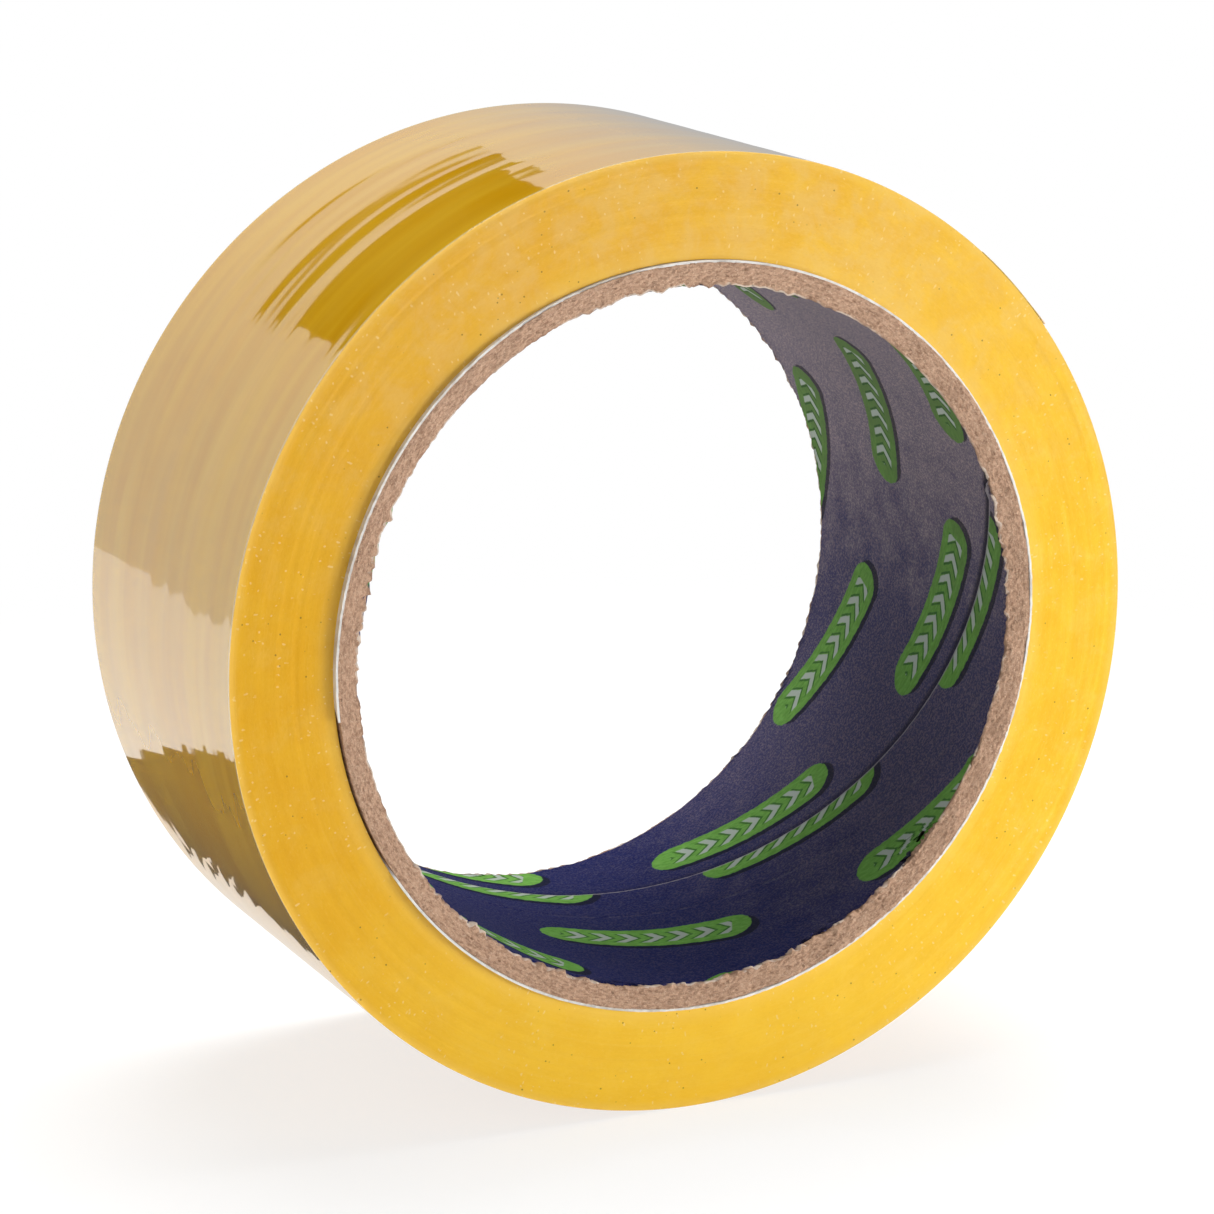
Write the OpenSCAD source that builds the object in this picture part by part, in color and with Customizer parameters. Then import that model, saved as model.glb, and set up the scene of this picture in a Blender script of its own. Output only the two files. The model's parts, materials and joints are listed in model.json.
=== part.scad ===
// Roll of clear packing tape on a spiral-wound paperboard core.
// It stands on its rim: the bore runs along Y, +Z is up, and the origin is the middle of the bore.
// Angles are counted anticlockwise from +X, as seen from the front face at -Y.

/* [Tape] */
// Width of the tape
tape_w = 45; // [24:1:75]
// Length of tape on the roll
tape_length = 66000; // [20000:1000:100000]
// Thickness of the film and its adhesive
film_t = 0.05; // [0.04:0.005:0.1]

/* [Core] */
// Diameter of the core's bore
bore_d = 76.2; // [60:0.2:90]
// Thickness of the printed liner paper
liner_t = 0.15; // [0.1:0.05:0.3]
// Thickness of one ply of kraft board
kraft_t = 0.46; // [0.3:0.02:0.8]
// Thickness of the white cover ply
cover_t = 0.25; // [0.1:0.05:0.4]
// How far each end of the core stands out past the tape
core_proud = 0.5; // [0.2:0.1:1.5]
// Depth to which the knife cut falls back between the outer kraft ply and the bore
cut_depth = 0.6; // [0.2:0.1:1.5]

/* [Spiral seams] */
// Distance that a ply's edge travels along the bore in one turn
seam_pitch = 115; // [80:1:180]
// Gap between the two edges of a paper or board ply
seam_gap = 0.5; // [0.3:0.1:1.5]
// Angle at which the liner's seam meets the front face
liner_seam_angle = 22; // [-180:1:180]
// Angle from each ply's seam to the seam of the kraft ply around it
seam_step = -29; // [-80:1:-15]
// Angle at the front face where the gap in the white cover ply begins
cover_gap_angle = -174; // [-180:1:180]
// Arc that the gap in the white cover ply takes
cover_gap_arc = 27; // [5:1:60]

/* [Free end] */
// Angle of the tape's free end
free_end_angle = 36; // [-60:1:45]
// Length of the free end that lifts
tab_length = 12; // [6:1:25]
// Slit between the lifting end and the rest of the outer turn
tab_slit = 0.1; // [0.05:0.05:0.5]
// Air under the lifting end
tab_air = 0.02; // [0.01:0.01:0.1]

/* [Hidden] */
$fn = 180;

// Kraft plies, counted from the bore outwards. Each has its node.
PLIES = [1, 2, 3, 4, 5];

core_w = tape_w + 2 * core_proud;
bore_r = bore_d / 2;
liner_r = bore_r + liner_t;
kraft_r = liner_r + len(PLIES) * kraft_t;
flat_r = kraft_r - kraft_t;
core_r = kraft_r + cover_t;

// The side view of the wound tape has the area of the tape's own edge: length times thickness.
wound_r = sqrt(pow(core_r, 2) + tape_length * film_t / PI);
windings_r = wound_r - 2 * film_t;

// How far a cutting shape runs past the piece that it cuts
cut_reach = 1;
seam_slices = 24;
seam_segments = 4;
seam_turn = 360 / seam_pitch;
seam_w = core_w + 2 * cut_reach;

// The free edge stops this far short of the step that it makes in the turn.
edge_setback = 0.45;

// Stands a piece that was drawn around Z on its rim, with its top end at the front.
module stand() {
    rotate([90, 0, 0]) children();
}

// Half length of the core at radius r: square outside, falling back towards the bore.
function end_z(r) = core_w / 2 - cut_depth * max(0, flat_r - r) / (flat_r - bore_r);

// Angle that a length takes round the outside of the roll.
function arc(length) = length / wound_r * 180 / PI;

// Tube of one ply, from radius r1 to r2, with its ends on the knife cut.
module ply_tube(r1, r2) {
    rotate_extrude()
        polygon([
            [r1, -end_z(r1)], [r2, -end_z(r2)],
            [r2, end_z(r2)], [r1, end_z(r1)]
        ]);
}

// Helical slot through the wall r1 to r2, gap wide round the arc. It meets the front face at front_angle.
module seam_slot(r1, r2, front_angle, gap) {
    whole_turn = seam_w * seam_turn;
    translate([0, 0, -seam_w / 2])
        linear_extrude(height = seam_w, twist = -whole_turn, slices = seam_slices, segments = seam_segments)
            rotate(front_angle - whole_turn + cut_reach * seam_turn)
                translate([r1 - cut_reach, -gap / 2])
                    square([r2 - r1 + 2 * cut_reach, gap]);
}

// One spirally wound ply with the gap at its seam.
module ply(r1, r2, front_angle, gap) {
    stand()
        difference() {
            ply_tube(r1, r2);
            seam_slot(r1, r2, front_angle, gap);
        }
}

module printed_liner() {
    color("midnightblue")
        ply(bore_r, liner_r, liner_seam_angle, seam_gap);
}

module kraft_ply(i) {
    inner_r = liner_r + (i - 1) * kraft_t;
    color("tan")
        ply(inner_r, inner_r + kraft_t, liner_seam_angle + i * seam_step, seam_gap);
}

module white_cover_ply() {
    color("white")
        stand()
            difference() {
                ply_tube(kraft_r, core_r);
                seam_slot(kraft_r, core_r, cover_gap_angle + cover_gap_arc / 2,
                    cover_gap_arc / 180 * PI * core_r);
            }
}

// Disc whose radius grows by one film thickness in a clockwise turn from angle 0, as two half discs.
module spiral_disc(r, h) {
    far = 2 * r;
    mirror([0, 1, 0])
        for (side = [0, 1])
            intersection() {
                translate([(side * 2 - 1) * film_t / 4, 0, 0])
                    cylinder(r = r + film_t * (side * 2 + 1) / 4, h = h, center = true);
                translate([-far, side == 0 ? 0 : -far, -h])
                    cube([2 * far, far, 2 * h]);
            }
}

// Slice of pie from angle a1 to a2, less than half a turn apart.
module sector(a1, a2, h) {
    far = 2 * wound_r;
    linear_extrude(height = h, center = true)
        polygon([[0, 0], for (a = [a1, (a1 + a2) / 2, a2]) far * [cos(a), sin(a)]]);
}

// One turn of film on the windings, lifted by air.
module film_turn(air) {
    difference() {
        spiral_disc(windings_r + film_t + air, tape_w);
        spiral_disc(windings_r + air, tape_w + 2 * cut_reach);
    }
}

module tape_windings() {
    color("goldenrod")
        stand()
            rotate(free_end_angle)
                difference() {
                    spiral_disc(windings_r, tape_w);
                    cylinder(r = core_r, h = tape_w + 2 * cut_reach, center = true);
                }
}

module tape_outer_turn() {
    color("darkkhaki")
        stand()
            rotate(free_end_angle)
                difference() {
                    film_turn(0);
                    sector(0, arc(tab_length + tab_slit), tape_w + 2 * cut_reach);
                }
}

module tape_free_end() {
    color("khaki")
        stand()
            rotate(free_end_angle)
                intersection() {
                    film_turn(tab_air);
                    sector(arc(edge_setback), arc(tab_length), tape_w + 2 * cut_reach);
                }
}

printed_liner();
kraft_ply(1);  // kraft_ply_1
kraft_ply(2);  // kraft_ply_2
kraft_ply(3);  // kraft_ply_3
kraft_ply(4);  // kraft_ply_4
kraft_ply(5);  // kraft_ply_5
white_cover_ply();
tape_windings();
tape_outer_turn();
tape_free_end();
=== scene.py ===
import json
import math

import bpy
import numpy as np
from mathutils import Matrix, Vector

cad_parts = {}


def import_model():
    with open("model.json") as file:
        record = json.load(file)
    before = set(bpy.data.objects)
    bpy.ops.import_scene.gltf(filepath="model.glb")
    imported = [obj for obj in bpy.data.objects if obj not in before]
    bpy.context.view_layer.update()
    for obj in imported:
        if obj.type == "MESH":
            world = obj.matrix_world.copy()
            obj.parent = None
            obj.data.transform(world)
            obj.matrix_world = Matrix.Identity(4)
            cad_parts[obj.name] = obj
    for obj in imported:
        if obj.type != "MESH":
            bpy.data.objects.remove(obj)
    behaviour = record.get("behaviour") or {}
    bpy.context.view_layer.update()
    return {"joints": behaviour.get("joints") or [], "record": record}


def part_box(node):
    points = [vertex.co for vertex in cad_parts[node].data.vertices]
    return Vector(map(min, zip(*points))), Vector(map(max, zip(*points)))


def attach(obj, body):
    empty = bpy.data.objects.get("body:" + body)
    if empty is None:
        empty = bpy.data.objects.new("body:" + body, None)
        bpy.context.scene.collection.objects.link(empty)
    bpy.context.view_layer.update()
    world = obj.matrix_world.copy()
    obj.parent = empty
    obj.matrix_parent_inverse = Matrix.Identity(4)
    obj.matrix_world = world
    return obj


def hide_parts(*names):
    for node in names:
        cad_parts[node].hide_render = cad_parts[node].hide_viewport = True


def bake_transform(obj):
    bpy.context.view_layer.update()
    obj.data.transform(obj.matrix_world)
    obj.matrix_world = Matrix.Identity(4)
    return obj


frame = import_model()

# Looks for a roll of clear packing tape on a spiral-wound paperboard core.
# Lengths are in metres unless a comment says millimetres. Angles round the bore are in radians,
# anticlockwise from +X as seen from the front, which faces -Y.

MM = 0.001
TAU = 2 * math.pi
SEED = 7

# ---------------------------------------------------------------- sizes, from the frame

BORE = next(m for m in frame["record"]["mounts"] if m["name"] == "core_bore")
HINGE = next(j for j in frame["joints"] if j["name"] == "free_end_peel")


def outer_r(node):
    """Outer radius of a node that goes all the way round the bore."""
    low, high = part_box(node)
    return (high.x - low.x) / 2


def half_w(node):
    """Half of a node's width along the bore."""
    low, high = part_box(node)
    return (high.y - low.y) / 2


BORE_R = BORE["dims"]["r_mm"] * MM
LINER_R = outer_r("printed_liner")
KNIFE_FLAT_R = outer_r("kraft_ply_4")  # outside this radius the knife cut is flat
CORE_R = outer_r("white_cover_ply")
WINDINGS_R = outer_r("tape_windings")
TAPE_R = outer_r("tape_outer_turn")
BORE_HALF = BORE["dims"]["length_mm"] / 2 * MM
CORE_HALF = half_w("white_cover_ply")
TAPE_HALF = half_w("tape_windings")
FILM_T = 0.05 * MM  # one turn of film
FLOOR_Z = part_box("tape_outer_turn")[0].z

# The core's spiral seams at its front end, as in the CAD model
SEAM_PITCH = 115 * MM
LINER_SEAM = math.radians(22)
SEAM_STEP = math.radians(-29)  # from one ply's seam to that of the ply over it
COVER_GAP = math.radians(-174)  # where the cover ply's gap begins
COVER_GAP_ARC = math.radians(27)

# The liner as a flat strip, in millimetres, with the two lines along it that show in the bore
STRIP_TILT = math.atan(SEAM_PITCH / (TAU * BORE_R))
STRIP_WIDTH = TAU * BORE_R / MM * math.sin(STRIP_TILT)
STRIP_EDGE = ((LINER_SEAM - CORE_HALF / SEAM_PITCH * TAU) * BORE_R / MM) * math.sin(STRIP_TILT)
STRIP_CREASE = STRIP_EDGE + STRIP_WIDTH * (1 + SEAM_STEP / TAU)

# The free end, as in the CAD model
STEP_ANGLE = math.radians(36)
ROOT_ANGLE = math.atan2(HINGE["pos_m"][2], HINGE["pos_m"][0])

# Where the cover ply and the outermost turns stand out furthest at the front
LEFT_ANGLE = math.radians(168)


# ---------------------------------------------------------------- fields and meshes

def waves(seed, count, around, along):
    """Smooth random field of an angle and a length, with a root mean square of 1.

    around is the range of whole waves in a turn, and along the range of wavelengths along the length.
    """
    rng = np.random.default_rng(SEED * 1000 + seed)
    k = rng.integers(around[0], around[1] + 1, count)
    wavelength = np.exp(rng.uniform(math.log(along[0]), math.log(along[1]), count))
    sign = rng.choice([-1, 1], count)
    phase = rng.uniform(0, TAU, count)
    weight = math.sqrt(2 / count)

    def field(angle, length):
        total = np.zeros(np.broadcast(angle, length).shape)
        for ki, li, si, pi in zip(k, wavelength, sign, phase):
            total += np.cos(ki * angle + si * TAU * length / li + pi)
        return total * weight

    return field


def smooth(x, low, high):
    """0 below low, 1 above high, and smooth between."""
    t = np.clip((x - low) / (high - low), 0, 1)
    return t * t * (3 - 2 * t)


def turned_from(angle, middle):
    """Angle from middle, between minus and plus half a turn."""
    return (angle - middle + math.pi) % TAU - math.pi


def spaced(a, b, count, crowd=0.0):
    """count + 1 values from a to b. With crowd up to 1 they lie closer together near both ends."""
    t = np.linspace(0, 1, count + 1)
    eased = (1 - np.cos(math.pi * t)) / 2
    return a + (b - a) * (t * (1 - crowd) + eased * crowd)


OUTSIDE, FRONT_SIDE, INSIDE, BACK_SIDE = 0, 1, 2, 3


def section(r1, r2, half, steps, steps_end, crowd=0.0):
    """Closed section of a ring wall, as each point's radius, y and the side that starts at it."""
    out = spaced(half, -half, steps, crowd)[:-1]
    end = spaced(r2, r1, steps_end)[:-1]
    inn = spaced(-half, half, steps, crowd)[:-1]
    back = spaced(r1, r2, steps_end)[:-1]
    r = np.concatenate([np.full(steps, r2), end, np.full(steps, r1), back])
    y = np.concatenate([out, np.full(steps_end, -half), inn, np.full(steps_end, half)])
    side = np.repeat([OUTSIDE, FRONT_SIDE, INSIDE, BACK_SIDE], [steps, steps_end, steps, steps_end])
    return r, y, side


def cap_faces(steps, steps_end):
    """Faces that close an open tube of section(): a strip between the outside and the inside."""
    m = 2 * (steps + steps_end)
    faces = []
    for k in range(steps):
        inner = m - steps_end - k
        face = [k, k + 1, inner - 1, inner % m]
        if k == steps - 1:
            face = [k, *range(k + 1, inner), inner % m]
        if k == 0:
            face += [q % m for q in range(inner + 1, m)]
        faces.append(face)
    return faces


def lay_uv(mesh, uv, rows):
    """UV map "print" on the quads of grid_object(), from one place for each point of the grid."""
    wrapped = np.concatenate([uv, uv[:, :1]], axis=1)
    corners = np.stack([wrapped[:rows, :-1], wrapped[1:rows + 1, :-1],
                        wrapped[1:rows + 1, 1:], wrapped[:rows, 1:]], axis=2).reshape(-1, 2)
    flat = np.zeros((len(mesh.loops), 2), np.float32)
    flat[:len(corners)] = corners
    mesh.uv_layers.new(name="print").data.foreach_set("uv", flat.ravel())


def grid_object(name, points, steps=0, steps_end=0, uv=None):
    """Mesh of sections in a row: points[i, j] with j round the section.

    Without steps the row closes into a ring. With the section's steps it is open and has two caps.
    """
    n, m = points.shape[:2]
    closed = steps == 0
    rows = n if closed else n - 1
    i, j = np.meshgrid(np.arange(rows), np.arange(m), indexing="ij")
    i2, j2 = (i + 1) % n, (j + 1) % m
    quads = np.stack([i * m + j, i2 * m + j, i2 * m + j2, i * m + j2], axis=-1).reshape(-1, 4)
    faces = quads.tolist()
    if not closed:
        for face in cap_faces(steps, steps_end):
            faces.append(face)
            faces.append([(n - 1) * m + q for q in reversed(face)])
    mesh = bpy.data.meshes.new(name)
    mesh.from_pydata(points.reshape(-1, 3).tolist(), [], faces)
    mesh.polygons.foreach_set("use_smooth", np.ones(len(faces), bool))
    if uv is not None:
        lay_uv(mesh, uv, rows)
    mesh.update()
    mesh.set_sharp_from_angle(angle=math.radians(40))
    obj = bpy.data.objects.new(name, mesh)
    bpy.context.scene.collection.objects.link(obj)
    return obj


def polar_points(angle, r, y):
    """Points at an angle and a radius round the bore's axis, and at y along it."""
    return np.stack([r * np.cos(angle), y, r * np.sin(angle)], axis=-1)


def finish_piece(obj, node, body, slot, *materials):
    """Gives a piece its materials, its node and, unless body is None, the body it rides. slot is not
    used.
    """
    for material in materials:
        obj.data.materials.append(material)
    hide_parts(node)
    if body:
        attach(obj, body)


# ---------------------------------------------------------------- material helpers

MIX_A, MIX_B, MIX_RESULT = 6, 7, 2  # the colour sockets of a Mix node


class Shader:
    """A material's node tree, with short calls for the nodes used here.

    position, radius, ux, uz and y are sockets: the shaded point, its distance from the bore's axis,
    the direction of that distance, and its place along the axis.
    """

    def __init__(self, name, **uniform):
        self.material = bpy.data.materials.new(name)
        self.material.use_nodes = True
        self.tree = self.material.node_tree
        self.bsdf = self.tree.nodes["Principled BSDF"]
        for socket, value in uniform.items():
            self.bsdf.inputs[socket.replace("_", " ")].default_value = value
        self.position = self.node("ShaderNodeTexCoord").outputs["Object"]
        split = self.node("ShaderNodeSeparateXYZ")
        self.put(split.inputs[0], self.position)
        x, self.y, z = split.outputs
        self.radius = self.math("SQRT", self.plus(self.times(x, x), self.times(z, z)))
        self.ux = self.math("DIVIDE", x, self.radius)
        self.uz = self.math("DIVIDE", z, self.radius)

    def node(self, kind, **settings):
        made = self.tree.nodes.new(kind)
        for key, value in settings.items():
            setattr(made, key, value)
        return made

    def put(self, socket, value):
        """Links a socket to another one, or sets it to a number or a colour."""
        if isinstance(value, bpy.types.NodeSocket):
            self.tree.links.new(value, socket)
        else:
            socket.default_value = value

    def math(self, operation, *values):
        made = self.node("ShaderNodeMath", operation=operation)
        for socket, value in zip(made.inputs, values):
            self.put(socket, value)
        return made.outputs[0]

    def times(self, a, b):
        return self.math("MULTIPLY", a, b)

    def plus(self, a, b):
        return self.math("ADD", a, b)

    def minus(self, a, b):
        return self.math("SUBTRACT", a, b)

    def larger(self, a, b):
        return self.math("MAXIMUM", a, b)

    def absolute(self, a):
        return self.math("ABSOLUTE", a)

    def band(self, value, low, high, to_low=0.0, to_high=1.0):
        """Smooth ramp of value from low to high."""
        made = self.node("ShaderNodeMapRange", interpolation_type="SMOOTHSTEP")
        for socket, v in zip(made.inputs, (value, low, high, to_low, to_high)):
            self.put(socket, v)
        return made.outputs[0]

    def fade(self, value, low, high):
        """1 where value is under low, 0 where it is over high, and smooth between."""
        return self.band(value, low, high, 1.0, 0.0)

    def vector(self, x, y, z):
        made = self.node("ShaderNodeCombineXYZ")
        for socket, v in zip(made.inputs, (x, y, z)):
            self.put(socket, v)
        return made.outputs[0]

    def round_bore(self, around, length):
        """Texture place on a circle of radius around, with length as its third part."""
        return self.vector(self.times(self.ux, around), self.times(self.uz, around), length)

    def noise(self, vector, scale=1.0, detail=2.0, roughness=0.5, distortion=0.0):
        made = self.node("ShaderNodeTexNoise")
        self.put(made.inputs["Vector"], vector)
        self.put(made.inputs["Scale"], scale)
        self.put(made.inputs["Detail"], detail)
        self.put(made.inputs["Roughness"], roughness)
        self.put(made.inputs["Distortion"], distortion)
        return made.outputs[0]

    def spots(self, vector, core, edge, where):
        """Spots round random points, solid up to core from the point, gone at edge, times where."""
        made = self.node("ShaderNodeTexVoronoi")
        self.put(made.inputs["Vector"], vector)
        self.put(made.inputs["Scale"], 1.0)
        return self.times(self.fade(made.outputs["Distance"], core, edge), where)

    def mix(self, share, a, b):
        """Colour a where share is 0, b where it is 1."""
        made = self.node("ShaderNodeMix", data_type="RGBA")
        self.put(made.inputs[0], share)
        for socket, value in ((made.inputs[MIX_A], a), (made.inputs[MIX_B], b)):
            self.put(socket, value if isinstance(value, bpy.types.NodeSocket) else (*value, 1))
        return made.outputs[MIX_RESULT]

    def tint(self, color, share, strength, other):
        """color with another one laid over it, by share times strength."""
        return self.mix(self.times(share, strength), color, other)

    def bump(self, height, depth):
        made = self.node("ShaderNodeBump")
        made.inputs["Strength"].default_value = 1.0
        made.inputs["Distance"].default_value = depth
        self.put(made.inputs["Height"], height)
        self.put(self.bsdf.inputs["Normal"], made.outputs[0])

    def color(self, value):
        self.put(self.bsdf.inputs["Base Color"], value)


def srgb(r, g, b):
    """Linear colour of an sRGB one, given in 0 to 255."""
    return tuple(((c / 255 + 0.055) / 1.055) ** 2.4 if c > 10 else c / 255 / 12.92 for c in (r, g, b))


# ---------------------------------------------------------------- materials

def film_side_material():
    """The wound film's side: hundreds of film edges, deep yellow, with fine rings, smears and specks, and
    painted light and shade.
    """
    s = Shader("film_side", Roughness=0.42, Specular_IOR_Level=0.3)
    fine = s.noise(s.round_bore(1.6, s.times(s.radius, 3200)), detail=3, roughness=0.6)
    broad = s.noise(s.round_bore(9.0, s.times(s.radius, 300)), detail=5, roughness=0.65)
    grain = s.noise(s.round_bore(90, s.times(s.radius, 5200)), detail=3, roughness=0.7)
    mottle = s.noise(s.position, scale=260, detail=5, roughness=0.7, distortion=0.4)
    deep, mid, pale = srgb(237, 178, 16), srgb(244, 191, 38), srgb(247, 208, 104)
    color = s.mix(s.band(broad, 0.35, 0.65), deep, mid)
    color = s.tint(color, s.band(mottle, 0.45, 0.7), 0.3, pale)
    color = s.tint(color, s.band(fine, 0.5, 0.8), 0.22, pale)
    color = s.tint(color, s.band(grain, 0.5, 0.72), 0.34, srgb(218, 160, 22))
    color = s.tint(color, s.band(grain, 0.46, 0.3), 0.3, pale)
    color = film_side_painted_light(s, color, mottle)
    # Paler near the core, and a painted highlight in a band just inside the outer rim.
    core_edge = s.fade(s.radius, CORE_R, CORE_R + 2.5 * MM)
    rim = s.band(s.radius, TAPE_R - 1.2 * MM, TAPE_R - 0.1 * MM)
    color = s.tint(color, s.larger(core_edge, rim), 0.35, pale)
    s.color(film_side_specks(s, color, core_edge))
    s.bump(s.plus(s.times(fine, 0.5), s.times(grain, 0.5)), 0.03 * MM)
    return s.material


def film_side_painted_light(s, color, mottle):
    """Painted light and shade: deeper yellow on the left, paler on the right and at the bottom, and a
    painted sheen towards the top.
    """
    painted_light_slope = s.minus(s.times(s.uz, 0.25), s.times(s.ux, 0.9))
    # Painted shade: deeper yellow towards the left.
    color = s.tint(color, s.band(painted_light_slope, -0.3, 0.8), 0.5, srgb(226, 162, 14))
    # Painted light: paler towards the right.
    color = s.tint(color, s.band(painted_light_slope, 0.2, -0.6), 0.25, srgb(252, 206, 52))
    # Painted light: paler towards the bottom.
    color = s.tint(color, s.band(s.uz, -0.35, -1.0), 0.5, srgb(255, 208, 60))
    # Painted sheen towards the top, in mottled patches.
    painted_sheen = s.times(s.band(s.uz, 0.1, 0.95), s.band(mottle, 0.35, 0.65, 0.12, 0.34))
    return s.mix(painted_sheen, color, srgb(230, 190, 128))


def film_side_specks(s, color, core_edge):
    """Pale flecks and scratches, most near the core and the rim, and dark pits."""
    near_edges = s.larger(core_edge, s.band(s.radius, TAPE_R - 4 * MM, TAPE_R - 1 * MM))
    patchy = s.plus(s.noise(s.position, scale=130), s.times(near_edges, 0.06))
    shake = s.times(s.noise(s.position, scale=900), 1.6)
    fleck_at = s.round_bore(60, s.plus(s.times(s.radius, 1100), shake))
    flecks = s.spots(fleck_at, 0.09, 0.2, s.band(patchy, 0.44, 0.56))
    scratch_at = s.vector(s.times(s.ux, 34), s.times(s.uz, 60), s.times(s.radius, 300))
    scratches = s.spots(scratch_at, 0.03, 0.08, s.band(patchy, 0.48, 0.58))
    color = s.tint(color, s.larger(flecks, scratches), 0.42, srgb(250, 226, 168))
    pit_at = s.round_bore(30, s.times(s.radius, 700))
    pits = s.spots(pit_at, 0.045, 0.09, s.band(s.noise(s.position, scale=90), 0.42, 0.55))
    return s.tint(color, pits, 0.7, srgb(120, 84, 24))


def film_face_material():
    """The outer face of the clear film over the yellow of the turns beneath it: a sharp double gloss."""
    s = Shader("film_face", Roughness=0.06, IOR=1.8, Coat_Weight=1.0, Coat_IOR=1.8, Coat_Roughness=0.03)
    streaks = s.noise(s.round_bore(1.4, s.times(s.y, 300)), detail=3)
    bands = s.noise(s.round_bore(0.8, s.times(s.y, 420)), detail=1, roughness=0.4)
    mottle = s.noise(s.position, scale=60, detail=3)
    color = s.mix(s.band(streaks, 0.35, 0.7), srgb(228, 168, 16), srgb(238, 184, 34))
    color = s.tint(color, s.band(bands, 0.45, 0.7), 0.2, srgb(208, 150, 14))
    color = s.tint(color, s.band(mottle, 0.4, 0.7), 0.3, srgb(236, 190, 60))
    # Painted highlight: a pale band along both edges of the film's face.
    edge = s.band(s.absolute(s.y), TAPE_HALF - 0.3 * MM, TAPE_HALF - 0.1 * MM)
    s.color(s.tint(color, edge, 0.6, srgb(250, 226, 160)))
    s.bump(s.plus(streaks, s.times(s.noise(s.position, scale=160), 0.3)), 0.006 * MM)
    return s.material


def kraft_material(number):
    """Cut end of grey-brown board: fibres, flecks and blotches, with other fibres for each ply."""
    s = Shader(f"kraft_board_{number}", Roughness=0.92, Specular_IOR_Level=0.2)
    fibres = s.noise(s.round_bore(60, s.times(s.radius, 3400 + 41 * number)), detail=3, roughness=0.65)
    grain = s.noise(s.position, scale=4800, detail=3, roughness=0.75)
    blotch = s.noise(s.position, scale=420, detail=3, roughness=0.6)
    dark, mid, light = srgb(156, 122, 99), srgb(196, 160, 134), srgb(222, 193, 168)
    color = s.mix(s.band(fibres, 0.34, 0.6), dark, mid)
    color = s.tint(color, s.band(grain, 0.48, 0.7), 0.7, light)
    s.color(s.tint(color, s.band(blotch, 0.55, 0.8), 0.4, dark))
    s.bump(s.plus(grain, fibres), 0.07 * MM)
    return s.material


def cover_material():
    """White paper, slightly soiled with grey."""
    s = Shader("cover_paper", Roughness=0.7, Specular_IOR_Level=0.3)
    soil = s.noise(s.position, scale=500, detail=3, roughness=0.6)
    s.color(s.mix(s.band(soil, 0.45, 0.75), srgb(236, 234, 230), srgb(200, 194, 186)))
    s.bump(s.noise(s.position, scale=2500, roughness=0.6), 0.03 * MM)
    return s.material


# The print on the liner, in millimetres along and across its strip
BAR_L, BAR_H = 24.0, 5.6
BAR_PITCH_L, BAR_PITCH_H = 37.0, 16.2
BAR_ROWS = 2  # rows until the bars stand above each other again
BAR_BLUR = 0.08
SHADOW_L, SHADOW_H = 0.9, 0.8  # how far a bar's shadow lies from the bar
STROKE_PITCH, STROKE_LEAN = 2.9, 0.9
STROKE_REACH_L, STROKE_REACH_H, STROKE_BLUR = 9.6, 1.45, 0.2  # from a bar's middle


def bar_print(s, along, across, wobble):
    """Masks of the bars' shadows, the bars, the strokes in them and the dark line beside each stroke."""
    row = s.math("FLOOR", s.math("DIVIDE", across, BAR_PITCH_H))
    shift = s.times(s.math("MODULO", row, float(BAR_ROWS)), BAR_PITCH_L / BAR_ROWS)
    p = s.minus(s.math("WRAP", s.plus(along, shift), BAR_PITCH_L, 0.0), BAR_PITCH_L / 2)
    q = s.minus(s.math("WRAP", across, BAR_PITCH_H, 0.0), BAR_PITCH_H / 2)

    def capsule(px, qx):
        """How far a place, measured from a bar's middle, lies outside the bar."""
        reach = s.larger(s.minus(s.absolute(px), (BAR_L - BAR_H) / 2), 0.0)
        from_middle = s.math("SQRT", s.plus(s.times(reach, reach), s.times(qx, qx)))
        return s.plus(s.minus(from_middle, BAR_H / 2), wobble)

    shadow = s.fade(capsule(s.minus(p, SHADOW_L), s.plus(q, SHADOW_H)), -BAR_BLUR, 1.5 * BAR_BLUR)
    bar = s.fade(capsule(p, q), -BAR_BLUR, BAR_BLUR)
    leaning = s.plus(p, s.times(s.absolute(q), STROKE_LEAN))
    from_stroke = s.absolute(s.minus(s.math("WRAP", leaning, STROKE_PITCH, 0.0), STROKE_PITCH / 2))
    in_bar = s.times(s.fade(s.absolute(q), STROKE_REACH_H, STROKE_REACH_H + STROKE_BLUR),
                     s.fade(s.absolute(p), STROKE_REACH_L, STROKE_REACH_L + STROKE_BLUR))
    stroke = s.times(s.fade(s.plus(from_stroke, wobble), 0.42, 0.6), in_bar)
    beside = s.plus(s.absolute(s.minus(from_stroke, 0.75)), wobble)
    return shadow, bar, stroke, s.times(s.fade(beside, 0.1, 0.25), in_bar)


def seam_marks(s, across, wobble):
    """Masks of the painted shade beside the liner's seam, and of the pale paper at the seam and the
    crease, with a painted highlight at the seam.
    """
    from_seam = s.minus(across, STRIP_EDGE)
    from_crease = s.absolute(s.minus(across, STRIP_CREASE))
    scuffed = s.band(s.noise(s.position, scale=700, detail=3, roughness=0.65), 0.42, 0.6)
    front = s.band(s.y, -CORE_HALF, 0.5 * CORE_HALF, 1.0, 0.35)
    shade = s.times(s.fade(from_seam, 0.3, 1.2), front)
    raised = s.minus(STRIP_EDGE + STRIP_WIDTH, s.plus(across, wobble))
    # Pale torn paper, partly a painted highlight, along the raised edge of the lap.
    torn = s.times(s.fade(raised, 0.2, 0.45), 0.75)
    worn = s.times(s.times(s.fade(from_crease, 0.1, 0.4), scuffed), 0.12)
    return shade, s.larger(torn, worn)


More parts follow.
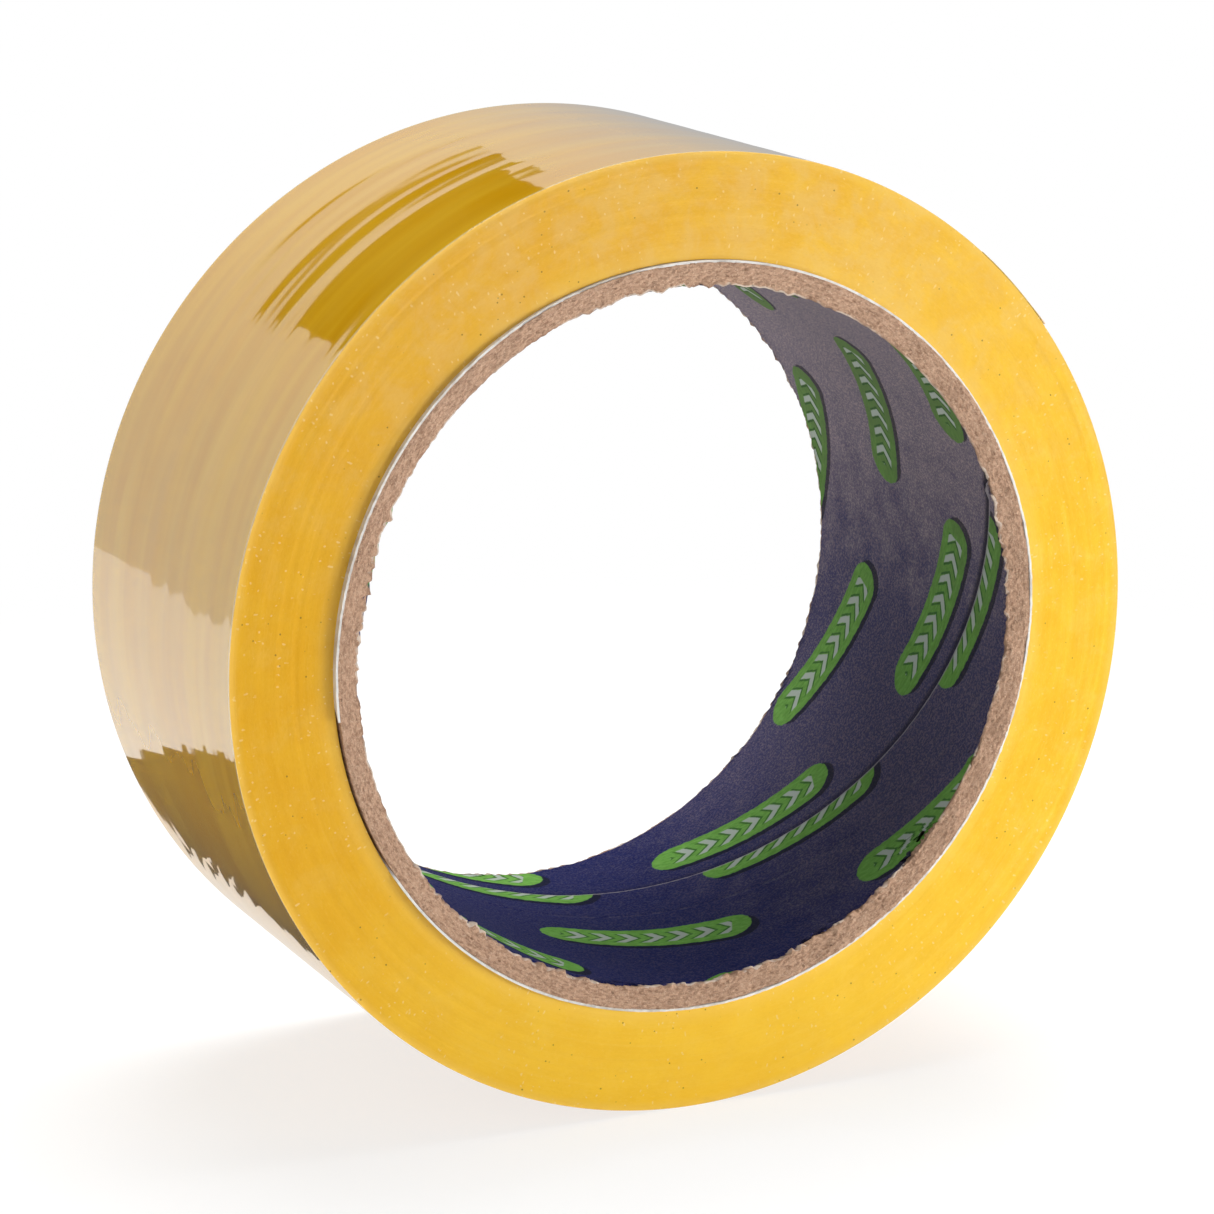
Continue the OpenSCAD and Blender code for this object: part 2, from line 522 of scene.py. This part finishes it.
def liner_material():
    """Navy printed paper with green bars of pale strokes along the strip, with pale flecks and a painted
    sheen that greys it towards the top.
    """
    s = Shader("liner_paper", Roughness=0.85, Specular_IOR_Level=0.06)
    split = s.node("ShaderNodeSeparateXYZ")
    s.put(split.inputs[0], s.node("ShaderNodeUVMap", uv_map="print").outputs[0])
    along, across = split.outputs[0], split.outputs[1]

    fibre = s.noise(s.vector(s.times(along, 0.9), s.times(across, 2.6), 0.0), detail=4, roughness=0.65)
    speckle = s.noise(s.position, scale=3900, detail=3, roughness=0.75)
    cloud = s.noise(s.position, scale=260, detail=3, roughness=0.6)
    wobble = s.times(s.minus(s.noise(s.position, scale=1500), 0.5), 0.35)
    # Painted sheen: a cloudy area towards the top and the right of the bore, painted grey.
    upper = s.plus(s.times(s.uz, 0.75), s.times(s.ux, 0.6))
    area = s.plus(upper, s.times(s.minus(cloud, 0.5), 0.7))
    painted_sheen_area = s.plus(s.band(area, -0.7, 0.1, 0.0, 0.27), s.band(area, 0.4, 1.0, 0.0, 0.73))
    # Pale paper flecks, with more of them in the painted sheen.
    flecks_and_sheen = s.times(s.band(speckle, 0.46, 0.6), s.plus(0.08, s.times(painted_sheen_area, 0.5)))

    ground = s.mix(s.band(fibre, 0.35, 0.7), srgb(25, 31, 82), srgb(38, 44, 94))
    # Painted sheen over the navy ground, then the flecks.
    ground = s.tint(ground, painted_sheen_area, 0.8, srgb(132, 122, 134))
    ground = s.mix(flecks_and_sheen, ground, srgb(184, 164, 160))
    green = s.mix(s.band(fibre, 0.35, 0.7), srgb(102, 162, 66), srgb(128, 188, 88))
    # Green bars dulled by the painted sheen, then flecked.
    green = s.mix(s.plus(0.1, s.times(painted_sheen_area, 0.7)), green, srgb(92, 114, 70))
    green = s.tint(green, flecks_and_sheen, 0.45, srgb(96, 112, 84))

    shadow, bar, stroke, stroke_dark = bar_print(s, along, across, wobble)
    color = s.tint(ground, shadow, 0.75, srgb(24, 26, 34))
    color = s.mix(bar, color, green)
    color = s.tint(color, stroke_dark, 0.7, srgb(40, 78, 44))
    color = s.mix(stroke, color, srgb(176, 186, 176))
    # Painted shade beside the seam; pale paper, partly a painted highlight, at the seam; scuffed pale
    # paper at the crease.
    shade, pale_paper_and_highlight = seam_marks(s, across, wobble)
    color = s.tint(color, shade, 0.85, srgb(16, 18, 32))
    color = s.mix(pale_paper_and_highlight, color, srgb(158, 152, 156))
    cut_end = s.band(s.absolute(s.y), BORE_HALF - 0.25 * MM, BORE_HALF - 0.1 * MM)
    board = s.mix(s.band(cloud, 0.42, 0.58), srgb(164, 132, 110), srgb(214, 196, 180))
    s.color(s.mix(cut_end, color, board))
    s.bump(s.plus(fibre, s.times(speckle, 0.6)), 0.06 * MM)
    return s.material


# ---------------------------------------------------------------- the core

CUT_COARSE = waves(11, 24, (3, 40), (3 * MM, 30 * MM))
CUT_FINE = waves(12, 70, (60, 480), (0.5 * MM, 3 * MM))
BURR = waves(13, 60, (5, 190), (2 * MM, 9 * MM))
BURR_SWELL = waves(14, 8, (1, 6), (20 * MM, 60 * MM))
FRONT, BACK = 0.0, 0.5  # added to a field's length, so that the two ends differ
BURR_FRONT_MM, BURR_BACK_MM = 0.13, 0.07
CROWD = 0.5  # how far the points along a ply crowd towards its ends
LINER_STEPS = 48  # along the bore, also for the board under the liner, so that the two stay apart
BOARD_STEPS = 26


def cut_fall(r):
    """How far the knife cut falls back from the core's end at radius r."""
    return (CORE_HALF - BORE_HALF) * np.clip((KNIFE_FLAT_R - r) / (KNIFE_FLAT_R - BORE_R), 0, 1)


def helix(front_angle, y):
    """Angle at y of a seam that meets the core's front end at front_angle."""
    return front_angle - (y + CORE_HALF) / SEAM_PITCH * TAU


def spiral_strip(r1, r2, front_angle, gap_arc, turns, steps, steps_end):
    """Angle, radius, y and side of a strip wound once round the bore, open along its spiral seam."""
    r, y, side = section(r1, r2, CORE_HALF, steps, steps_end, CROWD)
    u = np.linspace(0, 1, turns + 1)[:, None]
    angle = helix(front_angle, y)[None, :] + gap_arc / 2 + u * (TAU - gap_arc)
    r, y, side = (np.broadcast_to(v, angle.shape).copy() for v in (r, y, side))
    return angle, r, y, side


def knife_cut(angle, r, y):
    """Moves the ends of a strip back to the knife cut, with torn fibres and a burr into the bore."""
    which = np.where(y > 0, BACK, FRONT)
    at_end = np.abs(y) > CORE_HALF - 0.01 * MM
    torn = MM * (0.07 * CUT_COARSE(angle, r + which) + 0.05 * CUT_FINE(angle, r + which))
    chips = np.clip(BURR(angle, which), -0.8, 2.2) + 0.3 * CUT_FINE(angle, which * MM)
    swell = np.clip(1 + 0.6 * BURR_SWELL(angle, which), 0.2, 2.2)
    burr = MM * np.where(y > 0, BURR_BACK_MM, BURR_FRONT_MM) * chips * swell
    burr *= smooth(LINER_R + 0.7 * MM - r, 0, 0.6 * MM)
    near_end = smooth(np.abs(y), CORE_HALF - 1.1 * MM, CORE_HALF - 0.1 * MM)
    y_cut = y * (CORE_HALF - cut_fall(r)) / CORE_HALF + np.sign(y) * at_end * torn
    return r - burr * near_end, y_cut


def kraft_ply(number, r1, r2):
    """One ply of grey-brown board."""
    turns, steps_end, gap = 900, 4, 0.5 * MM
    steps = LINER_STEPS if number == 1 else BOARD_STEPS
    seam = LINER_SEAM + number * SEAM_STEP
    angle, r, y, _ = spiral_strip(r1, r2, seam, gap / r1, turns, steps, steps_end)
    r, y = knife_cut(angle, r, y)
    obj = grid_object(f"kraft_board_{number}", polar_points(angle, r, y), steps, steps_end)
    finish_piece(obj, f"kraft_ply_{number}", "roll", "kraft_board", kraft_material(number))


def kraft_plies():
    """The five plies of board, from the liner out."""
    inner = LINER_R
    for number in (1, 2, 3, 4, 5):
        outer = outer_r(f"kraft_ply_{number}")
        kraft_ply(number, inner, outer)
        inner = outer


def cover_ply():
    """The white cover, whose front edge stands out furthest on the left."""
    turns, steps, steps_end = 1100, BOARD_STEPS, 2
    wander = waves(21, 16, (1, 9), (10 * MM, 60 * MM))
    fray = waves(22, 40, (40, 300), (10 * MM, 60 * MM))
    angle, r, y, _ = spiral_strip(outer_r("kraft_ply_5"), CORE_R, COVER_GAP + COVER_GAP_ARC / 2,
                                  COVER_GAP_ARC, turns, steps, steps_end)
    edge_w, left_arc = 1.2 * MM, 0.62
    at_front = smooth(-y, CORE_HALF - edge_w, CORE_HALF)
    at_back = smooth(y, CORE_HALF - edge_w, CORE_HALF)
    left = np.exp(-(turned_from(angle, LEFT_ANGLE) / left_arc) ** 2)
    out = MM * (0.02 + 0.50 * left + 0.07 * wander(angle, FRONT) + 0.03 * fray(angle, FRONT))
    y = y - at_front * out + at_back * MM * 0.08 * wander(angle, BACK)
    r = r + at_front * MM * (0.10 * left + 0.03 * wander(angle, FRONT))
    obj = grid_object("cover_paper", polar_points(angle, r, y), steps, steps_end)
    finish_piece(obj, "white_cover_ply", "roll", "cover_paper", cover_material())


LINER_TEARS = [  # place and half arc in degrees, and depth in millimetres
    (-43, 5.0, 0.8), (-66, 3.0, 0.45), (-103, 4.0, 0.5), (21, 1.6, 0.5), (-25, 2.5, 0.3),
]


def liner_tears(angle, y):
    """How far the liner's small tears reach in from its front end."""
    ragged = 1 + 0.35 * np.clip(CUT_FINE(angle, 0.0), -1.5, 1.5)
    total = 0
    for at, half_arc, depth in LINER_TEARS:
        off = turned_from(angle, math.radians(at))
        tear = smooth(math.radians(half_arc) - np.abs(off), 0, math.radians(0.25 * half_arc)) * ragged
        total = total + MM * depth * tear * smooth(-y, CORE_HALF - 5 * MM, CORE_HALF)
    return total


def liner():
    """The printed liner, lapped at its spiral seam, with the crease of the ply beneath it."""
    turns, steps, steps_end, gap = 1000, LINER_STEPS, 1, 0.2 * MM
    angle, r, y, side = spiral_strip(BORE_R, LINER_R, LINER_SEAM, gap / BORE_R, turns, steps, steps_end)
    arc = (angle - helix(LINER_SEAM, y)) * BORE_R
    to_edge = TAU * BORE_R - arc
    lap = smooth(to_edge, 0, 0.3 * MM) * (1 - smooth(to_edge, 4 * MM, 9 * MM))
    crease = np.exp(-((arc - (TAU + SEAM_STEP) * BORE_R) / (0.5 * MM)) ** 2)
    ripple = waves(31, 30, (2, 30), (8 * MM, 60 * MM))(angle, y)
    r, y_cut = knife_cut(angle, r, y)
    y_cut = y_cut + liner_tears(angle, y)
    r -= (side == INSIDE) * MM * (0.09 * lap - 0.09 * crease + 0.012 * ripple)
    round_mm, y_mm = angle * BORE_R / MM, y / MM
    uv = np.stack([round_mm * math.cos(STRIP_TILT) - y_mm * math.sin(STRIP_TILT),
                   round_mm * math.sin(STRIP_TILT) + y_mm * math.cos(STRIP_TILT)], axis=-1)
    obj = grid_object("liner_paper", polar_points(angle, r, y_cut), steps, steps_end, uv)
    finish_piece(obj, "printed_liner", "roll", "liner_paper", liner_material())


# ---------------------------------------------------------------- the tape

RIDGES = [  # place along the bore from mid-width, half width and height, in millimetres
    (-16.5, 1.8, 0.012), (-9.2, 2.2, 0.035), (-12.8, 1.2, -0.008), (-2.6, 1.1, 0.012),
    (3.4, 2.0, 0.020), (8.0, 1.6, -0.012), (12.5, 1.8, 0.014), (17.5, 1.5, -0.010),
]
RIM_FLARE = 0.05 * MM  # how far the front rim flares out on the left
FILM_WAVES = waves(41, 40, (1, 12), (2.5 * MM, 12 * MM))
SIDE_RINGS = waves(42, 50, (0, 4), (0.5 * MM, 4 * MM))
SIDE_LUMPS = waves(43, 30, (2, 40), (4 * MM, 20 * MM))


def film_relief(angle, y):
    """Height of the winding ridges and of the front rim's flare."""
    total = MM * 0.0022 * FILM_WAVES(angle, y)
    for i, (at, width, height) in enumerate(RIDGES):
        drift = 0.45 * np.cos(2 * angle + i) + 0.2 * np.cos(5 * angle + 2.2 * i)
        swell = 0.65 + 0.35 * np.cos((1 + i % 3) * angle + 1.7 * i)
        total = total + MM * height * swell * np.exp(-((y / MM - at - drift) / width) ** 2)
    turned = angle % TAU
    starts = smooth(turned, math.radians(120), math.radians(138))
    ends = smooth(math.radians(212) - turned, 0, 0.4)
    return total + RIM_FLARE * (starts * ends) * smooth(-y, TAPE_HALF - 4.5 * MM, TAPE_HALF) ** 2


def side_relief(angle, r):
    """How far the turns' edges stand out of the roll's side."""
    return MM * (0.018 * SIDE_RINGS(angle, r) + 0.010 * SIDE_LUMPS(angle, r))


def rim_lip(angle):
    """How far the outermost turns stand out of the front side, most on the left."""
    return 0.06 * MM * (1 + np.cos(angle - LEFT_ANGLE))


def growth(angle):
    """Share of one film thickness by which the spiral has grown, clockwise from the step."""
    return ((STEP_ANGLE - angle) % TAU) / TAU


def wound_film(side_material, face_material):
    """All turns of film under the outer one, as a ring whose outside steps down by one film."""
    turns, steps, steps_side, crowd = 900, 14, 40, 0.4
    step_w, tuck, tuck_w, outermost = 0.02 * MM, 0.04 * MM, 1.5 * MM, 0.975
    r, y, side = section(CORE_R, WINDINGS_R, TAPE_HALF, steps, steps_side, crowd)
    angle = STEP_ANGLE - TAU + np.linspace(0, TAU - step_w / TAPE_R, turns)[:, None]
    grown = growth(angle) - 0.5
    share = (r - CORE_R) / (WINDINGS_R - CORE_R)
    r = r + share * (grown * FILM_T + film_relief(angle, np.sign(y) * TAPE_HALF))
    hidden = (side == OUTSIDE) * smooth(TAPE_HALF - np.abs(y), 0, tuck_w)
    r = r - hidden * tuck
    at_side = (side == FRONT_SIDE) | (side == BACK_SIDE)
    relief = at_side * side_relief(angle, r + np.where(side == BACK_SIDE, BACK, FRONT))
    y = y + np.sign(y) * relief - rim_lip(angle) * (side == FRONT_SIDE) * (share > outermost)
    obj = grid_object("wound_film", polar_points(angle, r, y))
    finish_piece(obj, "tape_windings", "roll", "wound_film", side_material, face_material)
    on_face = np.tile(side == OUTSIDE, turns).astype(np.int32)
    obj.data.polygons.foreach_set("material_index", on_face)


def film_layer(name, angle, lift):
    """One layer of film over the windings."""
    steps, steps_end = 84, 1
    r, y, _ = section(0, FILM_T, TAPE_HALF, steps, steps_end)
    r = WINDINGS_R - 0.5 * FILM_T + growth(angle) * FILM_T + r + film_relief(angle, y) + lift
    at_front = y < 0.01 * MM - TAPE_HALF
    y = y - rim_lip(angle) * at_front
    return grid_object(name, polar_points(angle, r, y), steps, steps_end)


def outer_turn(face_material):
    """The outer turn of film, up to the root of the free end."""
    turns, slit, clear = 800, 0.1 * MM, 0.01 * MM
    stop = ROOT_ANGLE - TAU + slit / TAPE_R
    angle = np.linspace(stop, STEP_ANGLE - clear / TAPE_R, turns + 1)[:, None]
    obj = film_layer("outer_film", angle, 0)
    finish_piece(obj, "tape_outer_turn", "roll", "outer_film", face_material)


def free_end(face_material):
    """The last of the film, from its edge, which curls up a little, to the hinge."""
    columns, clear, curled, bend = 60, 0.45 * MM, 5 * MM, 3 * MM
    edge = STEP_ANGLE + clear / TAPE_R
    angle = np.linspace(edge, ROOT_ANGLE, columns + 1)[:, None]
    curl = smooth(edge + curled / TAPE_R - angle, 0, curled / TAPE_R)
    obj = film_layer("peeling_end", angle, FILM_T + MM * (0.01 + 0.1 * curl ** 2))
    finish_piece(obj, "tape_free_end", None, "outer_film", face_material)
    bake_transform(obj)


# ---------------------------------------------------------------- camera and background

VIEW_AZIMUTH = math.radians(-24.34)
VIEW_ELEVATION = math.radians(13.50)
VIEW_DISTANCE = 0.4819
VIEW_AIM = Vector((0.0001, 0.0, -0.0012))
LENS_MM = 129.1
SENSOR_MM = 36


def camera():
    """The photograph's camera, as it was fitted to the roll."""
    data = bpy.data.cameras.new("camera")
    data.lens = LENS_MM
    data.sensor_width = SENSOR_MM
    data.clip_start, data.clip_end = 0.01, 20
    obj = bpy.data.objects.new("camera", data)
    bpy.context.scene.collection.objects.link(obj)
    back = Vector((math.sin(VIEW_AZIMUTH) * math.cos(VIEW_ELEVATION),
                   -math.cos(VIEW_AZIMUTH) * math.cos(VIEW_ELEVATION), math.sin(VIEW_ELEVATION)))
    obj.location = VIEW_AIM + back * VIEW_DISTANCE
    obj.rotation_euler = (-back).to_track_quat("-Z", "Y").to_euler()
    bpy.context.scene.camera = obj


def seen_white(tree):
    """1 for camera, glossy and transmission rays, which see the white background."""
    path = tree.nodes.new("ShaderNodeLightPath")
    total = path.outputs["Is Camera Ray"]
    for name in ("Is Glossy Ray", "Is Transmission Ray"):
        most = tree.nodes.new("ShaderNodeMath")
        most.operation = "MAXIMUM"
        tree.links.new(total, most.inputs[0])
        tree.links.new(path.outputs[name], most.inputs[1])
        total = most.outputs[0]
    return total


def world():
    """White background, which lights the roll less than it shows."""
    lighting, shown = 0.30, 1.0
    made = bpy.data.worlds.new("studio")
    bpy.context.scene.world = made
    made.use_nodes = True
    tree = made.node_tree
    background = tree.nodes["Background"]
    strength = tree.nodes.new("ShaderNodeMapRange")
    tree.links.new(seen_white(tree), strength.inputs[0])
    strength.inputs["To Min"].default_value = lighting
    strength.inputs["To Max"].default_value = shown
    background.inputs["Color"].default_value = (1, 1, 1, 1)
    tree.links.new(strength.outputs[0], background.inputs["Strength"])


# ---------------------------------------------------------------- floor and cards

def plane(name, corners, material):
    """A flat face of the studio."""
    mesh = bpy.data.meshes.new(name)
    mesh.from_pydata([tuple(c) for c in corners], [], [tuple(range(len(corners)))])
    mesh.materials.append(material)
    obj = bpy.data.objects.new(name, mesh)
    bpy.context.scene.collection.objects.link(obj)
    return obj


def rectangle(low, high, z):
    """Corners of a level rectangle between two opposite (x, y) corners."""
    return [(low[0], low[1], z), (high[0], low[1], z), (high[0], high[1], z), (low[0], high[1], z)]


def studio_material(name):
    """A new material and its node tree, with nothing but the output in it."""
    material = bpy.data.materials.new(name)
    material.use_nodes = True
    tree = material.node_tree
    tree.nodes.remove(tree.nodes["Principled BSDF"])
    return material, tree


def floor():
    """White floor with the roll's faint shadow. It fades to plain white away from the roll."""
    material, tree = studio_material("floor")
    reach, fade_from, fade_to = 3.0, 0.10, 0.24
    glow, shaded, lit = 0.73, 0.32, 0.88

    def shader(kind, socket, value):
        made = tree.nodes.new(kind)
        made.inputs[socket].default_value = value
        return made.outputs[0]

    def blend(share, a, b):
        made = tree.nodes.new("ShaderNodeMixShader")
        for socket, value in zip(made.inputs, (share, a, b)):
            tree.links.new(value, socket)
        return made.outputs[0]

    both = tree.nodes.new("ShaderNodeAddShader")
    tree.links.new(shader("ShaderNodeEmission", "Strength", glow), both.inputs[0])
    tree.links.new(shader("ShaderNodeBsdfDiffuse", "Color", (shaded, shaded, shaded, 1)), both.inputs[1])
    distance = tree.nodes.new("ShaderNodeVectorMath")
    distance.operation = "LENGTH"
    tree.links.new(tree.nodes.new("ShaderNodeTexCoord").outputs["Object"], distance.inputs[0])
    fade = tree.nodes.new("ShaderNodeMapRange")
    fade.interpolation_type = "SMOOTHSTEP"
    fade.inputs["From Min"].default_value = fade_from
    fade.inputs["From Max"].default_value = fade_to
    tree.links.new(distance.outputs["Value"], fade.inputs["Value"])
    seen = blend(fade.outputs[0], both.outputs[0], shader("ShaderNodeEmission", "Strength", 1.0))
    plain = shader("ShaderNodeBsdfDiffuse", "Color", (lit, lit, lit, 1))
    tree.links.new(blend(seen_white(tree), plain, seen), tree.nodes["Material Output"].inputs["Surface"])
    plane("floor", rectangle((-reach, -reach), (reach, reach), FLOOR_Z), material)


def card(name, corners, left, right=None, color=(1, 1, 1, 1)):
    """A studio card that only gloss sees. left is its brightness, or with right that on the left."""
    shade_half_w = 0.2
    material, tree = studio_material(name)
    glow = tree.nodes.new("ShaderNodeEmission")
    tree.links.new(glow.outputs[0], tree.nodes["Material Output"].inputs["Surface"])
    glow.inputs["Strength"].default_value = left
    glow.inputs["Color"].default_value = color
    if right is not None:
        split = tree.nodes.new("ShaderNodeSeparateXYZ")
        tree.links.new(tree.nodes.new("ShaderNodeTexCoord").outputs["Object"], split.inputs[0])
        shade = tree.nodes.new("ShaderNodeMapRange")
        for socket, value in zip(shade.inputs, (0.0, -shade_half_w, shade_half_w, left, right)):
            socket.default_value = value
        tree.links.new(split.outputs[0], shade.inputs[0])
        tree.links.new(shade.outputs[0], glow.inputs["Strength"])
    obj = plane(name, corners, material)
    obj.visible_camera = False
    obj.visible_diffuse = False
    obj.visible_transmission = False
    obj.visible_shadow = False


PALE = 0.53, 0.46  # the pale cards' brightness on the left and on the right
BACKDROP_Y = 0.39
CARD_GAP = 0.005  # from one standing card to the one before it
DARK_PANEL_RIGHT = [  # x and z, from the bottom up
    (0.096, 0.16), (0.098, 0.186), (0.104, 0.191), (0.09, 0.197), (0.081, 0.2), (0.084, 0.209),
    (0.06, 0.24),
]


def wall_card(name, start, end):
    """A tall pale card that stands on the floor from one (x, y) to another."""
    top = 1.5
    card(name, [(*start, FLOOR_Z), (*end, FLOOR_Z), (*end, top), (*start, top)], *PALE)


def standing_cards():
    """Pale backdrop with a side wing, a dark panel before it and a round-topped card before both."""
    corner, far, near = (-0.1955, BACKDROP_Y), (1.2, BACKDROP_Y), (-0.1546, 0.10)
    wall_card("backdrop_card", corner, far)
    wall_card("side_card", near, corner)
    left_edge = [(-0.136 + 0.004 * math.sin(0.6 * i), 0.24 - 0.003 * i) for i in range(37)]
    panel_y = BACKDROP_Y - CARD_GAP
    card("dark_panel", [(x, panel_y, z) for x, z in left_edge + DARK_PANEL_RIGHT], 0.0)
    top, bend, reach, points = 0.2025, 2.5, 0.19, 28
    arch = [reach * math.cos(math.pi * i / points) for i in range(1, points)]
    round_y, low = BACKDROP_Y - 2 * CARD_GAP, top - bend * reach ** 2
    outline = [(x, round_y, top - bend * x ** 2) for x in arch]
    card("round_card", outline + [(-reach, round_y, low), (reach, round_y, low)], *PALE)


def floor_cards():
    """On the floor: a dark flag with ragged edges on the left, over two pale cards."""
    flag_z, card_z = FLOOR_Z + 0.5 * MM, FLOOR_Z + 0.2 * MM
    steps = 48
    wavy = [(-0.050 - 0.038 * i / steps, 0.0985 + 0.0018 * math.sin(i * 0.7)) for i in range(steps + 1)]
    tip = [(-0.068, 0.040), (-0.042, 0.010), (-0.033, 0.025)]
    inner = [(-0.036 + 0.0030 * math.sin(1.9 * i) + 0.0014 * math.sin(4.1 * i), 0.044 + 0.0015 * i)
             for i in range(20)]
    dark = 0.07
    card("floor_flag", [(x, y, flag_z) for x, y in wavy + tip + inner], dark)
    bright, warm, between = 0.84, (1.0, 0.90, 0.79, 1), -0.045
    card("floor_card", rectangle((-0.40, 0.09), (between, 0.60), card_z), bright)
    card("under_card", rectangle((between, -0.02), (0.12, 0.60), card_z), bright, color=warm)


# ---------------------------------------------------------------- lights

def area_light(name, place, aim, size, power):
    """A soft light that gloss and the camera don't see."""
    data = bpy.data.lights.new(name, "AREA")
    data.shape = "RECTANGLE"
    data.size, data.size_y = size
    data.energy = power
    obj = bpy.data.objects.new(name, data)
    obj.location = place
    obj.rotation_euler = (Vector(aim) - Vector(place)).to_track_quat("-Z", "Y").to_euler()
    bpy.context.scene.collection.objects.link(obj)
    obj.visible_glossy = False
    obj.visible_camera = False


def lights():
    """Low key into the bore from the right, soft top, weak left and a glow from the floor."""
    area_light("key", (0.31, -0.30, -0.015), (0, 0, -0.01), (0.34, 0.07), 1.16)
    area_light("top", (0.12, 0.14, 0.55), (0, 0, 0), (0.5, 0.5), 4.7)
    area_light("left", (-0.36, 0.20, -0.025), (0, 0, -0.03), (0.4, 0.05), 0.3)
    area_light("bounce", (-0.075, 0.0, FLOOR_Z + MM), (-0.075, 0.0, 1.0), (0.05, 0.08), 0.003)


bpy.context.scene.view_settings.view_transform = "Standard"
camera()
world()
floor()
standing_cards()
floor_cards()
lights()

side_look = film_side_material()
face_look = film_face_material()
kraft_plies()
cover_ply()
liner()
wound_film(side_look, face_look)
outer_turn(face_look)
free_end(face_look)
